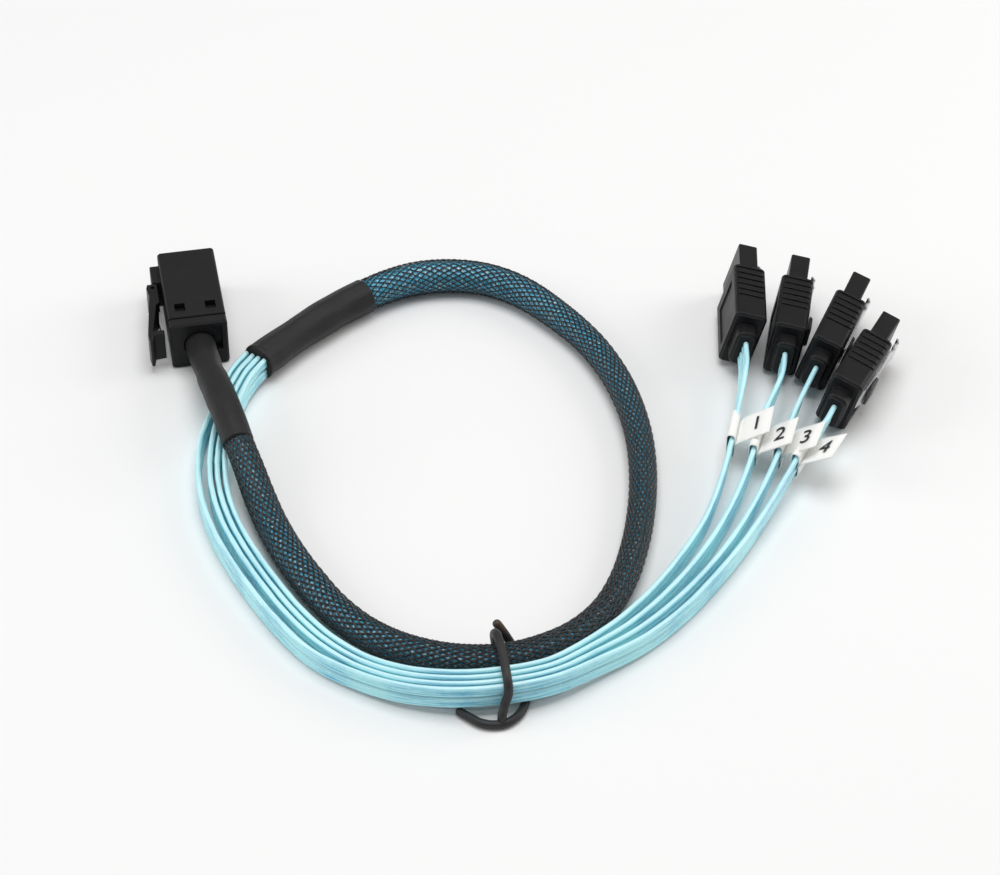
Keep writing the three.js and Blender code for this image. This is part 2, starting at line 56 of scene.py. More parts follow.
# Routes, from one end of each piece to the other
BOOT_ROUTE = [
    (0, -0.0128, 0.0064), (0.0002, -0.0172, 0.0070), (0.0005, -0.0227, 0.0083),
    (0.0010, -0.0283, 0.0095), (0.0017, -0.0338, 0.0101), (0.0025, -0.0396, 0.0101),
    (0.0034, -0.0450, 0.0095), (0.0043, -0.0507, 0.0083),
]
SLEEVE_ROUTE = [
    (0.00445, -0.05105, 0.00825), (0.0057, -0.0577, 0.0065), (0.007, -0.0652, 0.0046),
    (0.0086, -0.0737, 0.0037), (0.0108, -0.0827, 0.0036), (0.0138, -0.0917, 0.0036),
    (0.0179, -0.1011, 0.0036), (0.0226, -0.1083, 0.0037), (0.0288, -0.1149, 0.0042),
    (0.036, -0.12, 0.005), (0.043, -0.123, 0.0057), (0.0503, -0.1241, 0.006),
    (0.0584, -0.1224, 0.0055), (0.0664, -0.1183, 0.0044), (0.0736, -0.112, 0.0037),
    (0.0793, -0.104, 0.0036), (0.0838, -0.0947, 0.0036), (0.0876, -0.0842, 0.0036),
    (0.0907, -0.0722, 0.0036), (0.0925, -0.0597, 0.0036), (0.0926, -0.0477, 0.0036),
    (0.0912, -0.0367, 0.0036), (0.0881, -0.0257, 0.0036), (0.0829, -0.0152, 0.0036),
    (0.076, -0.0054, 0.0036), (0.0683, 0.0006, 0.0037), (0.06, 0.0032, 0.0039),
    (0.052, 0.0033, 0.0042), (0.0456, 0.0015, 0.0044), (0.0405, -0.0006, 0.0044),
]
BREAKOUT_ROUTE = [
    (0.04, -0.00085, 0.0044), (0.0331, -0.0047, 0.0044), (0.0253, -0.01, 0.0044),
    (0.0181, -0.0154, 0.0044), (0.0124, -0.0201, 0.0044),
]
TRUNK_ROUTE = [
    (0.012, -0.0205, 0.0013), (0.009, -0.0237, 0.001), (0.0057, -0.0289, 0.0004), (0.0028, -0.0357, 0),
    (0, -0.0447, 0), (-0.0017, -0.0535, 0), (-0.0021, -0.0627, 0), (-0.001, -0.0727, 0),
    (0.0016, -0.0831, 0), (0.0052, -0.0937, 0), (0.0093, -0.1035, 0), (0.0144, -0.1123, 0),
    (0.0212, -0.1203, 0.0004), (0.0296, -0.1262, 0.0012), (0.0396, -0.13, 0.0021),
    (0.05, -0.1311, 0.0025), (0.0592, -0.1297, 0.002),
]
# The tie's wire passes under the bundle, and its ring goes over it
TIE_WIRE = [
    (0.0386, -0.1320, 0.0011), (0.0406, -0.1343, 0.0011), (0.0429, -0.1366, 0.0011),
    (0.0456, -0.1376, 0.0011), (0.0483, -0.1374, 0.0011), (0.0508, -0.1358, 0.0011),
    (0.0525, -0.1333, 0.0011), (0.0534, -0.1303, 0.0011), (0.0537, -0.1263, 0.0011),
    (0.0536, -0.1228, 0.0011), (0.0535, -0.1197, 0.0014), (0.0529, -0.1180, 0.0028),
    (0.0518, -0.1171, 0.0050), (0.0505, -0.1163, 0.0072), (0.0495, -0.1158, 0.0088),
]
TIE_RING = [
    (0.0470, -0.1372, 0.0012), (0.0472, -0.1370, 0.0030), (0.0480, -0.1356, 0.0046),
    (0.0488, -0.1350, 0.0066), (0.0489, -0.1346, 0.0086), (0.0489, -0.1330, 0.0099),
    (0.0490, -0.1303, 0.0104), (0.0491, -0.1276, 0.0107), (0.0490, -0.1246, 0.0110),
    (0.0489, -0.1216, 0.0107), (0.0488, -0.1196, 0.0090), (0.0490, -0.1185, 0.0064),
    (0.0496, -0.1184, 0.0036), (0.0510, -0.1194, 0.0014),
]
TAIL_ROUTES = [
    [
        (0.068, -0.1223, 0.0042), (0.0766, -0.1161, 0.0034), (0.085, -0.1086, 0.0032),
        (0.0932, -0.0996, 0.0033), (0.1003, -0.0903, 0.0036), (0.1059, -0.0803, 0.0042),
        (0.1106, -0.0701, 0.0052), (0.1146, -0.0601, 0.0065),
    ],
    [
        (0.0684, -0.1242, 0.0042), (0.0776, -0.1185, 0.0034), (0.0868, -0.1111, 0.0032),
        (0.0952, -0.1027, 0.0033), (0.1027, -0.0935, 0.0035), (0.109, -0.0841, 0.0041),
        (0.1144, -0.0745, 0.0051), (0.1194, -0.0639, 0.0065),
    ],
    [
        (0.0688, -0.1261, 0.0042), (0.0786, -0.1207, 0.0034), (0.0882, -0.1137, 0.0032),
        (0.0974, -0.1053, 0.0033), (0.1056, -0.0961, 0.0035), (0.1126, -0.0867, 0.0041),
        (0.1192, -0.0765, 0.0052), (0.1256, -0.0653, 0.0066),
    ],
    [
        (0.0692, -0.1281, 0.0042), (0.0794, -0.1231, 0.0034), (0.0894, -0.1161, 0.0032),
        (0.0989, -0.1073, 0.0033), (0.1076, -0.0979, 0.0035), (0.1154, -0.0883, 0.0042),
        (0.1226, -0.0789, 0.0054), (0.1294, -0.0703, 0.0068),
    ],
]
# Each SATA plug: the middle of its body's front on the table, its turn and its lean in degrees
SATA_PLUGS = [
    ((0.1237, -0.0186), -12.4, 14.6),
    ((0.1353, -0.0243), -19.7, 8.7),
    ((0.1444, -0.0316), -32.3, 16.1),
    ((0.1470, -0.0463), -37.6, 14.6),
]
SATA_BODY = Vector((0.0075, 0.0183, 0.0148))
RELIEF_LENGTH = 0.0036

GAP = 0.0003
# The two windows on the plug's shell: their floor's height, and how far it is sunk
WINDOW_FLOOR = 0.0118
WINDOW_SLACK = 0.0002
WINDOW_SINK = 0.0009
RIBBON_WIDTH = 0.0027
RIBBON_THICKNESS = 0.0013
ROW_PITCH = 0.0030
COLUMN_PITCH = 0.00165
RIBBON_BOTTOM = 0.00015
OUTER_SPREAD = 0.0009
LEAN_STARTS, LEAN_ENDS = 0.75, 0.97

TABLE_GAP = 0.0001
# The sleeve swells over the bundle: shares of its length, and its radius there
SLEEVE_SWELL = [
    (0.0, 0.00335), (0.05, 0.0036), (0.16, 0.00375), (0.27, 0.0035), (0.36, 0.0032), (0.46, 0.0031),
    (0.66, 0.0032), (0.78, 0.0034), (0.87, 0.0039), (0.95, 0.0041), (1.0, 0.0039),
]
# Its strands' width, as a share of strand_width: full at the tie, narrow where the braid opens
SLEEVE_OPENING = [
    (0.0, 1.2), (0.12, 1.05), (0.3, 1.1), (0.45, 1.3), (0.62, 1.1), (0.78, 0.85), (1.0, 0.66),
]
BOOT_RADIUS = 0.0034
BREAKOUT_RADIUS = 0.0043
CORE_RIB = 0.00008
TIE_RADIUS = 0.00098
TAG_LIFT = 35

STRANDS = 18
RIBBON_COUNT = 8
CORE_TWIST = 22.0

# Along the ribbons, from the breakout: how far the crinkles reach, their wave and their depth
CRINKLE_REACH = 0.035
CRINKLE_WAVE = 0.0028
CRINKLE_DEPTH = 0.00016
HANDLING_DEPTH = 0.00005
# The outer column stands off between these points of the trunk
OUTER_COLUMN = 3
OUTER_POINTS = range(4, 12)
# A ribbon runs straight into its plug over this length
TAIL_LEAD = 0.007
LEAN_SHARE = 0.3

# How finely pieces are divided along their lines and round them
PER_SPAN = 16
RIBBON_STATIONS = 260
CORE_STATIONS = 420
BOOT_STATIONS = 150
BREAKOUT_STATIONS = 140
WIRE_STATIONS = 180
RING_STATIONS = 160
TUBE_COLUMNS = 48
TIE_COLUMNS = 16
TAG_ROWS = 12
SEAM_SLACK = 1e-8

# Edges of the moulded parts: the angle that counts as one, and shares of the edge rounding
SHARP_DEGREES = 32
BODY_ROUNDING = 1.8
NOSE_ROUNDING = 3.0

# Colours that belong to one finish only
FILM_DEEP = (0.004, 0.34, 0.62)
# Painted highlight colour of the ribbon film, used for its pale edges and its glints
FILM_PAINTED_HIGHLIGHT = (0.66, 0.94, 0.99)
# Painted glint colour of the sleeve's core: pale highlight specks
CORE_PAINTED_GLINT = (0.62, 0.93, 0.98)
TIE_TIP = (0.055, 0.036, 0.024)

UV_NAME = "along"

EYE = Vector((-0.03525, -0.57712, 0.47954))
LOOK_AT = Vector((0.06281, -0.05058, 0.0))
LENS = 115.6
SENSOR = 36.0
TABLE_REACH = 3.0
SKY_STRENGTH = 0.34
LAMPS_AIM = (0.07, -0.06, 0.0)
# Softboxes: name, place, size, power and colour
SOFTBOXES = [
    ("overhead", (0.10, 0.0, 1.3), (0.9, 0.9), 10.6, (1.0, 1.0, 1.0)),
    ("right", (0.95, 0.05, 0.42), (0.5, 0.7), 3.2, (1.0, 0.97, 0.93)),
    ("left", (-0.85, 0.05, 0.42), (0.5, 0.7), 2.6, (1.0, 1.0, 1.0)),
]


# Lines and sections

class Line:
    """A smooth line through given points, with upright frames at evenly spaced stations."""

    def __init__(self, points, stations, lean=0.0):
        dense = smooth_points(points)
        steps = np.linalg.norm(np.diff(dense, axis=0), axis=1)
        run = np.concatenate([[0.0], np.cumsum(steps)])
        self.length = float(run[-1])
        self.at = np.linspace(0, 1, stations)
        stops = self.at * run[-1]
        self.points = np.stack([np.interp(stops, run, dense[:, k]) for k in range(3)], 1)
        tangents = np.gradient(self.points, axis=0)
        self.tangents = tangents / np.linalg.norm(tangents, axis=1)[:, None]
        across = np.cross([0.0, 0.0, 1.0], self.tangents)
        across /= np.linalg.norm(across, axis=1)[:, None]
        up = np.cross(self.tangents, across)
        eased = np.clip((self.at - LEAN_STARTS) / (LEAN_ENDS - LEAN_STARTS), 0, 1)
        turn = math.radians(lean) * eased * eased * (3 - 2 * eased)
        self.across = across * np.cos(turn)[:, None] + up * np.sin(turn)[:, None]
        self.up = np.cross(self.tangents, self.across)

    def seat(self, radius_at):
        """Lifts the line where a tube of the given radius would reach below the table."""
        for station, share in enumerate(self.at):
            lowest = radius_at(share) + TABLE_GAP
            self.points[station][2] = max(self.points[station][2], lowest)

    def place(self, station, side, rise):
        """The point that lies side across and rise above the line at a station."""
        return self.points[station] + self.across[station] * side + self.up[station] * rise


def smooth_points(points):
    """Points on the centripetal Catmull-Rom curve through the given ones."""
    given = [np.array(p, float) for p in points]
    ends = [2 * given[0] - given[1]] + given + [2 * given[-1] - given[-2]]
    result = []
    for p0, p1, p2, p3 in zip(ends, ends[1:], ends[2:], ends[3:]):
        t1 = np.linalg.norm(p1 - p0) ** 0.5
        t2 = t1 + np.linalg.norm(p2 - p1) ** 0.5
        t3 = t2 + np.linalg.norm(p3 - p2) ** 0.5
        for t in np.linspace(t1, t2, PER_SPAN, endpoint=False):
            a1 = ((t1 - t) * p0 + t * p1) / t1
            a2 = ((t2 - t) * p1 + (t - t1) * p2) / (t2 - t1)
            a3 = ((t3 - t) * p2 + (t - t2) * p3) / (t3 - t2)
            b1 = ((t2 - t) * a1 + t * a2) / t2
            b2 = ((t3 - t) * a2 + (t - t1) * a3) / (t3 - t1)
            result.append(((t2 - t) * b1 + (t - t1) * b2) / (t2 - t1))
    result.append(given[-1])
    return np.array(result)


def finish_object(bm, name, material, smooth=True):
    """Turns a bmesh into an object in the scene, with its faces outwards."""
    bmesh.ops.recalc_face_normals(bm, faces=bm.faces)
    for face in bm.faces:
        face.smooth = smooth
    mesh = bpy.data.meshes.new(name)
    bm.to_mesh(mesh)
    bm.free()
    mesh.materials.append(material)
    piece = bpy.data.objects.new(name, mesh)
    bpy.context.scene.collection.objects.link(piece)
    return piece


def close_ends(bm):
    """Fills the open ends of a tube."""
    open_edges = [edge for edge in bm.edges if edge.is_boundary]
    bmesh.ops.holes_fill(bm, edges=open_edges, sides=0)


def wrap_grid(bm, columns, rows, place):
    """Wraps a grid into a tube: place(column, row) gives each vertex, and its two sides join."""
    made = bmesh.ops.create_grid(bm, x_segments=columns, y_segments=rows, size=1.0, calc_uvs=True)
    for vert in made["verts"]:
        column = round((vert.co.x + 1) / 2 * columns)
        row = round((vert.co.y + 1) / 2 * rows)
        vert.co = place(column % columns, row)
    bmesh.ops.remove_doubles(bm, verts=made["verts"], dist=SEAM_SLACK)


def sweep(name, line, columns, section, material):
    """A closed tube along a line: section(column, row) gives the offsets across and up."""
    bm = bmesh.new()
    bm.loops.layers.uv.new(UV_NAME)
    wrap_grid(bm, columns, len(line.at) - 1, lambda c, r: Vector(line.place(r, *section(c, r))))
    close_ends(bm)
    return finish_object(bm, name, material)


def sweep_tube(name, line, columns, radius_at, material):
    """A closed round tube along a line, whose radius is radius_at(angle, row)."""
    def offsets(column, row):
        angle = 2 * math.pi * column / columns
        radius = radius_at(angle, row)
        return radius * math.cos(angle), radius * math.sin(angle)
    return sweep(name, line, columns, offsets, material)


def wobble(x, y, z, wave):
    """Smooth noise between about -1 and 1 at a point, in waves of the given length."""
    return noise.noise(Vector((x, y, z)) / wave)


def lumps(at, angle, length, radius, wave):
    """Uneven swelling of a shrunk tube, read on a plain tube of about its size."""
    return wobble(at * length, math.cos(angle) * radius, math.sin(angle) * radius, wave)


def bump_at(at, middle, width):
    """A smooth rise of height 1 round one place along a line."""
    return math.exp(-((at - middle) / width) ** 2)


# Materials

class Value:
    """A number that varies over a surface. Python sums on it add Math nodes."""

    def __init__(self, graph, socket):
        self.graph = graph
        self.socket = socket

    def math(self, operation, other=0.0):
        return self.graph.math(operation, self, other)

    def __add__(self, other):
        return self.math("ADD", other)

    __radd__ = __add__

    def __sub__(self, other):
        return self.math("SUBTRACT", other)

    def __rsub__(self, other):
        return self.graph.math("SUBTRACT", other, self)

    def __mul__(self, other):
        return self.math("MULTIPLY", other)

    __rmul__ = __mul__

    def __pow__(self, other):
        return self.math("POWER", other)

    def sine(self):
        return self.math("SINE")

    def clipped(self):
        node = self.graph.node("ShaderNodeClamp", {}, {"Value": self})
        return Value(self.graph, node.outputs[0])


class Graph:
    """The nodes of one material, around a Principled shader."""

    def __init__(self, name, **constants):
        self.material = bpy.data.materials.new(name)
        self.material.use_nodes = True
        self.tree = self.material.node_tree
        self.tree.nodes.clear()
        output = self.tree.nodes.new("ShaderNodeOutputMaterial")
        self.shader = self.tree.nodes.new("ShaderNodeBsdfPrincipled")
        self.tree.links.new(self.shader.outputs[0], output.inputs["Surface"])
        for label, value in constants.items():
            socket = label.replace("_", " ").title().replace("Ior", "IOR")
            self.shader.inputs[socket].default_value = value

    def put(self, socket, value):
        """Links a value to a socket, or sets the socket to a plain number or colour."""
        if isinstance(value, Value):
            value = value.socket
        if isinstance(value, bpy.types.NodeSocket):
            self.tree.links.new(value, socket)
        else:
            socket.default_value = value

    def node(self, kind, settings, sockets):
        """Adds a node: its settings first, then the values or links of its sockets."""
        node = self.tree.nodes.new(kind)
        for label, value in settings.items():
            setattr(node, label, value)
        for label, value in sockets.items():
            self.put(node.inputs[label], value)
        return node

    def math(self, operation, first, second=0.0):
        node = self.node("ShaderNodeMath", {"operation": operation}, {0: first, 1: second})
        return Value(self, node.outputs[0])

    def mix(self, factor, first, second):
        """A colour between two others."""
        settings = {"data_type": "RGBA"}
        return self.node("ShaderNodeMix", settings, {0: factor, 6: first, 7: second}).outputs[2]

    def place(self, scale=(1, 1, 1)):
        """Object coordinates, stretched by a scale."""
        source = self.node("ShaderNodeTexCoord", {}, {}).outputs["Object"]
        return self.node("ShaderNodeMapping", {}, {"Vector": source, "Scale": scale}).outputs[0]

    def along(self):
        """The piece's own map: how far round it, and how far along, each from 0 to 1."""
        source = self.node("ShaderNodeUVMap", {"uv_map": UV_NAME}, {}).outputs[0]
        parts = self.node("ShaderNodeSeparateXYZ", {}, {"Vector": source})
        return Value(self, parts.outputs[0]), Value(self, parts.outputs[1])

    def vector(self, x, y, z=0.0):
        return self.node("ShaderNodeCombineXYZ", {}, {0: x, 1: y, 2: z}).outputs[0]

    def noise(self, vector, scale, detail=3.0, roughness=0.5):
        sockets = {"Vector": vector, "Scale": scale, "Detail": detail, "Roughness": roughness}
        return Value(self, self.node("ShaderNodeTexNoise", {}, sockets).outputs["Fac"])

    def colour(self, value):
        self.put(self.shader.inputs["Base Color"], value)

    def roughness(self, value):
        self.put(self.shader.inputs["Roughness"], value)

    def bump(self, height, depth):
        """Raises the surface by a height of 0 to 1 times a depth in metres."""
        sockets = {"Height": height, "Distance": depth, "Strength": 1.0}
        self.put(self.shader.inputs["Normal"], self.node("ShaderNodeBump", {}, sockets).outputs[0])


def shade(colour, factor=1.0):
    """A colour as four numbers, made lighter or darker by a factor."""
    return tuple(min(c * factor, 1.0) for c in colour[:3]) + (1.0,)


def looks():
    return bpy.context.scene.cable_looks


def moulded_plastic(name, colour, roughness, grain=0.00002):
    """Satin moulded plastic: fine spark-eroded grain, faint handling marks and paler patches."""
    graph = Graph(name, specular_ior_level=0.22)
    patches = graph.noise(graph.place(), 260.0, 3.0)
    grain_noise = graph.noise(graph.place(), 5200.0, 2.0)
    marks = graph.noise(graph.place((1.0, 6.0, 1.0)), 420.0, 4.0, 0.7)
    tone = (patches * 0.7 + marks * 0.5 - 0.1).clipped()
    graph.colour(graph.mix(tone, shade(colour, 0.75), shade(colour, 1.45)))
    graph.roughness((roughness - 0.08 + patches * 0.12 + grain_noise * 0.06).clipped())
    graph.bump(grain_noise * 0.7 + patches * 0.3, grain)
    return graph.material


def shrink_tube(name, colour):
    """Heat-shrunk tube: faint lengthwise ridges of what lies inside, and small cross wrinkles."""
    graph = Graph(name, specular_ior_level=0.3)
    around, along = graph.along()
    ridges = (around * (2 * math.pi * RIBBON_COUNT)).sine() * 0.5 + 0.5
    wrinkles = graph.noise(graph.vector(around * 3.0, along * 40.0), 2.2, 3.0, 0.6)
    fine = graph.noise(graph.place(), 3000.0, 2.0)
    streaks = graph.noise(graph.vector(around * 60.0, along * 4.0), 1.6, 2.0)
    tone = (streaks * 0.6 + fine * 0.4).clipped()
    graph.colour(graph.mix(tone, shade(colour, 0.7), shade(colour, 1.6)))
    graph.roughness((0.34 + wrinkles * 0.2 + fine * 0.08).clipped())
    graph.bump(ridges * 0.2 + streaks * 0.5 + wrinkles * 0.4 + fine * 0.08, 0.00024)
    return graph.material


def ribbon_film(name, colour):
    """Clear blue film over bright foil: a painted highlight on both edges against deeper flats, painted
    glints, streaks and small crinkles.
    """
    graph = Graph(name, specular_ior_level=0.5, coat_weight=0.3, coat_roughness=0.12)
    around, along = graph.along()
    # Painted highlight: both edges of the film are made pale, as if lit from above
    edge = ((around * (4 * math.pi)).math("COSINE") * 0.5 + 0.5) ** 3.0
    streaks = graph.noise(graph.vector(around * 9.0, along * 14.0), 1.7, 3.0, 0.55)
    crinkle = graph.noise(graph.vector(around * 5.0, along * 190.0), 1.4, 3.0, 0.6)
    patches = graph.noise(graph.place(), 70.0, 2.0)
    tone = (streaks * 2.4 + crinkle * 0.4 + patches * 1.6 - 1.3).clipped()
    deep = graph.mix(tone, shade(FILM_DEEP), shade(colour))
    # Painted glints: pale highlight specks where crinkles and streaks meet
    painted_glint = ((crinkle * streaks - 0.28) * 5.0).clipped()
    graph.colour(graph.mix((edge * 0.75 + painted_glint * 0.5).clipped(), deep, shade(FILM_PAINTED_HIGHLIGHT)))
    graph.roughness((0.22 + streaks * 0.2).clipped())
    graph.bump(crinkle * 0.6 + streaks * 0.4, 0.00012)
    return graph.material


def braid_yarn(name, colour):
    """Glossy black monofilament, three fine threads side by side in each strand."""
    graph = Graph(name, specular_ior_level=0.6, coat_weight=0.25, coat_roughness=0.2)
    around, _ = graph.along()
    threads = (around * (2 * math.pi * 6)).sine() * 0.5 + 0.5
    dust = graph.noise(graph.place(), 900.0, 2.0)
    wear = graph.noise(graph.place(), 120.0, 3.0)
    tone = (threads * 0.45 + wear * 0.5 + dust * 0.2 - 0.1).clipped()
    graph.colour(graph.mix(tone, shade(colour, 0.55), shade(colour, 1.7)))
    graph.roughness((0.24 + wear * 0.2 + dust * 0.1).clipped())
    graph.bump(threads, 0.00006)
    return graph.material


def sleeve_core(name, colour):
    """The blue ribbons inside the sleeve, as a ribbed bundle with bright and dark stretches and painted
    glints.
    """
    graph = Graph(name, specular_ior_level=0.6, coat_weight=0.3, coat_roughness=0.25)
    around, along = graph.along()
    ribs = (around * (2 * math.pi * RIBBON_COUNT) + along * CORE_TWIST).sine() * 0.5 + 0.5
    # Painted glints: a speckle mask for pale highlights on the bundle
    painted_glints = graph.noise(graph.vector(around * 12.0, along * 300.0), 1.5, 3.0, 0.65)
    patches = graph.noise(graph.vector(around * 3.0, along * 24.0), 1.0, 2.0)
    tone = (ribs * 0.4 + patches * 0.9 - 0.1).clipped()
    deep = graph.mix(tone, shade(colour, 0.45), shade(colour))
    # The painted glint colour is mixed in where the speckle mask is high
    graph.colour(graph.mix(((painted_glints - 0.52) * 8.0).clipped(), deep, shade(CORE_PAINTED_GLINT)))
    graph.roughness((0.3 + painted_glints * 0.2).clipped())
    graph.bump(ribs * 0.6 + painted_glints * 0.4, 0.0002)
    return graph.material


def sheet_metal(name, colour, roughness):
    """Rolled strip: fine lengthwise grain and slight tarnish."""
    graph = Graph(name, metallic=1.0)
    grain = graph.noise(graph.place((1.0, 1.0, 14.0)), 1500.0, 3.0)
    tarnish = graph.noise(graph.place(), 350.0, 3.0)
    tone = (tarnish * 1.1 - 0.05).clipped()
    graph.colour(graph.mix(tone, shade(colour, 0.78), shade(colour, 1.1)))
    graph.roughness((roughness + grain * 0.16).clipped())
    graph.bump(grain, 0.00001)
    return graph.material


def solder_mask(name, colour):
    """Lacquered circuit card: a faint weave under the lacquer and uneven blotches."""
    graph = Graph(name, specular_ior_level=0.5)
    weave = graph.noise(graph.place((1.0, 8.0, 8.0)), 500.0, 2.0)
    blotch = graph.noise(graph.place(), 300.0, 2.0)
    tone = (weave * 0.6 + blotch * 0.4).clipped()
    graph.colour(graph.mix(tone, shade(colour, 0.7), shade(colour, 1.4)))
    graph.roughness((0.3 + blotch * 0.15).clipped())
    graph.bump(weave, 0.00001)
    return graph.material


def tag_paper(name, colour):
    """Uncoated label paper with fibres and a faint grey soiling."""
    graph = Graph(name, specular_ior_level=0.3)
    fibres = graph.noise(graph.place((1.0, 5.0, 1.0)), 1300.0, 4.0, 0.7)
    soiling = graph.noise(graph.place(), 160.0, 3.0)
    tone = (soiling * 0.8 + fibres * 0.3).clipped()
    graph.colour(graph.mix(tone, shade(colour, 0.92), shade(colour, 1.03)))
    graph.roughness((0.75 + fibres * 0.15).clipped())
    graph.bump(fibres, 0.00002)
    return graph.material


def tie_rubber(name, colour):
    """Matt rubber skin with a dusty bloom, browner at its far end."""
    graph = Graph(name, specular_ior_level=0.45)
    bloom = graph.noise(graph.place(), 420.0, 4.0, 0.6)
    fine = graph.noise(graph.place(), 4200.0, 2.0)
    black = graph.mix((bloom * 1.1 - 0.1).clipped(), shade(colour, 0.7), shade(colour, 2.0))
    tip = ((graph.along()[1] - 0.9) * 20.0).clipped()
    graph.colour(graph.mix(tip, black, shade(TIE_TIP)))
    graph.roughness((0.42 + bloom * 0.2).clipped())
    graph.bump(fine * 0.5 + bloom * 0.5, 0.00004)
    return graph.material


def dress(node, material):
    """Gives a CAD node's slots a finish."""
    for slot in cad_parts[node].material_slots:
        slot.material = material


def sink_windows(bm):
    """Deepens the two square windows on top of the plug's shell."""
    floors = [
        face for face in bm.faces
        if face.normal.z > 0.99 and abs(face.calc_center_median().z - WINDOW_FLOOR) < WINDOW_SLACK
    ]
    verts = {vert for face in floors for vert in face.verts}
    bmesh.ops.translate(bm, verts=list(verts), vec=(0, 0, -WINDOW_SINK))


def eased_copy(node, name, material, width, change=None, edge=None):
    """A CAD node with rounded edges, as moulded parts have: it stands in for the node.

    change(bm) alters the copy first, and edge is a painted highlight finish for the rounded edges alone.
    """
    bm = bmesh.new()
    bm.from_mesh(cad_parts[node].data)
    bmesh.ops.remove_doubles(bm, verts=bm.verts, dist=1e-6)
    bmesh.ops.dissolve_limit(bm, angle_limit=math.radians(1.0), verts=bm.verts, edges=bm.edges)
    if change:
        change(bm)
    least = math.radians(SHARP_DEGREES)
    sharp = [e for e in bm.edges if len(e.link_faces) == 2 and e.calc_face_angle() > least]
    eased = bmesh.ops.bevel(
        bm, geom=sharp, offset=width, affect="EDGES", segments=2, profile=0.5, material=-1,
        clamp_overlap=True,
    )
    # The rounded edges take the painted highlight finish
    if edge:
        for face in eased["faces"]:
            face.material_index = 1
    piece = finish_object(bm, name, material)
    if edge:
        piece.data.materials.append(edge)
    flat = piece.modifiers.new("Weighted", "WEIGHTED_NORMAL")
    flat.keep_sharp = True
    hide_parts(node)
    return piece


# Settings that a user may change

class CableSizes(bpy.types.PropertyGroup):
    """Sizes of the fine parts of the cable."""

    strand_width: FloatProperty(
        name="Strand width", description="Width of one strand of the braid",
        default=0.00044, min=0.0001, subtype="DISTANCE", unit="LENGTH",
    )
    strand_thickness: FloatProperty(
        name="Strand thickness", description="Thickness of one strand of the braid",
        default=0.0002, min=0.00005, subtype="DISTANCE", unit="LENGTH",
    )
    braid_depth: FloatProperty(
        name="Braid depth", description="How deep the braid is from its outside to the bundle",
        default=0.00044, min=0.0002, subtype="DISTANCE", unit="LENGTH",
    )
    braid_lead: FloatProperty(
        name="Braid lead", description="Length of sleeve in which a strand goes once round",
        default=0.044, min=0.005, subtype="DISTANCE", unit="LENGTH",
    )
    edge_ease: FloatProperty(
        name="Edge rounding", description="How far the edges of the moulded parts are rounded",
        default=0.00008, min=0.00001, subtype="DISTANCE", unit="LENGTH",
    )
    tag_thickness: FloatProperty(
        name="Tag thickness", description="Thickness of the folded paper of a tag",
        default=0.00012, min=0.00005, subtype="DISTANCE", unit="LENGTH",
    )


def tint(label, words, default):
    return FloatVectorProperty(
        name=label, description=words, default=default, size=3, min=0.0, max=1.0, subtype="COLOR",
    )


class CableLooks(bpy.types.PropertyGroup):
    """Base colours of the finishes."""

    shell: tint("Shell", "Plastic of the mini SAS HD plug", (0.010, 0.010, 0.011))
    plug: tint("SATA plug", "Plastic of the SATA plugs", (0.008, 0.008, 0.009))
    nose: tint("SATA nose", "Plastic of the SATA plugs' noses", (0.012, 0.011, 0.011))
    shrink: tint("Shrink tube", "Heat-shrink tube", (0.012, 0.012, 0.013))
    yarn: tint("Braid", "Strands of the sleeve", (0.009, 0.010, 0.012))
    core: tint("Core", "What shows through the sleeve", (0.03, 0.46, 0.74))
    ribbon: tint("Ribbon", "Film of the flat ribbons", (0.46, 0.93, 0.99))
    paper: tint("Paper", "Tags", (0.93, 0.93, 0.91))
    ink: tint("Ink", "Numbers on the tags", (0.03, 0.03, 0.035))
    # Painted highlight: a paler tint for the SATA plugs' rounded edges, standing in for the light they catch
    plug_edge_highlight: tint("Plug edges", "Edges of the SATA plugs, rubbed pale", (0.085, 0.085, 0.088))
    # Painted highlight: a warm brown tint for the noses' rounded edges, standing in for light on them
    nose_edge_highlight: tint("Nose edges", "Thin edges of the noses, where light comes through", (0.090, 0.068, 0.052))
    rubber: tint("Tie", "Rubber skin of the wire tie", (0.012, 0.012, 0.013))
    steel: tint("Steel", "Latches and springs", (0.72, 0.73, 0.75))
    gilt: tint("Contacts", "Contact blades", (0.80, 0.58, 0.24))
    card: tint("Card", "Paddle cards", (0.02, 0.13, 0.06))
    floor: tint("Floor", "Table top", (0.88, 0.88, 0.882))


def sizes():
    return bpy.context.scene.cable_sizes


# Where the ribbons run

def plug_place(number):
    """The place of a SATA plug's own frame: its body's front, bottom and middle is the origin."""
    (x, y), turn, lean = SATA_PLUGS[number]
    lift = SATA_BODY.x / 2 * math.sin(math.radians(abs(lean)))
    turned = Matrix.Rotation(math.radians(turn), 4, "Z") @ Matrix.Rotation(math.radians(lean), 4, "Y")
    return Matrix.Translation((x, y, lift)) @ turned


def trunk_points(column, row):
    """One ribbon's points from the breakout to the fan."""
    dense = smooth_points(TRUNK_ROUTE)
    up = RIBBON_BOTTOM + RIBBON_WIDTH / 2 + row * ROW_PITCH
    result = []
    for i, (x, y, z) in enumerate(TRUNK_ROUTE):
        here = i * PER_SPAN
        ahead = dense[min(here + 1, len(dense) - 1)] - dense[max(here - 1, 0)]
        across = Vector((0, 0, 1)).cross(Vector(ahead)).normalized()
        shift = (1.5 - column) * COLUMN_PITCH
        if column == OUTER_COLUMN and i in OUTER_POINTS:
            shift -= OUTER_SPREAD
        result.append((x + across.x * shift, y + across.y * shift, z + up))
    return result


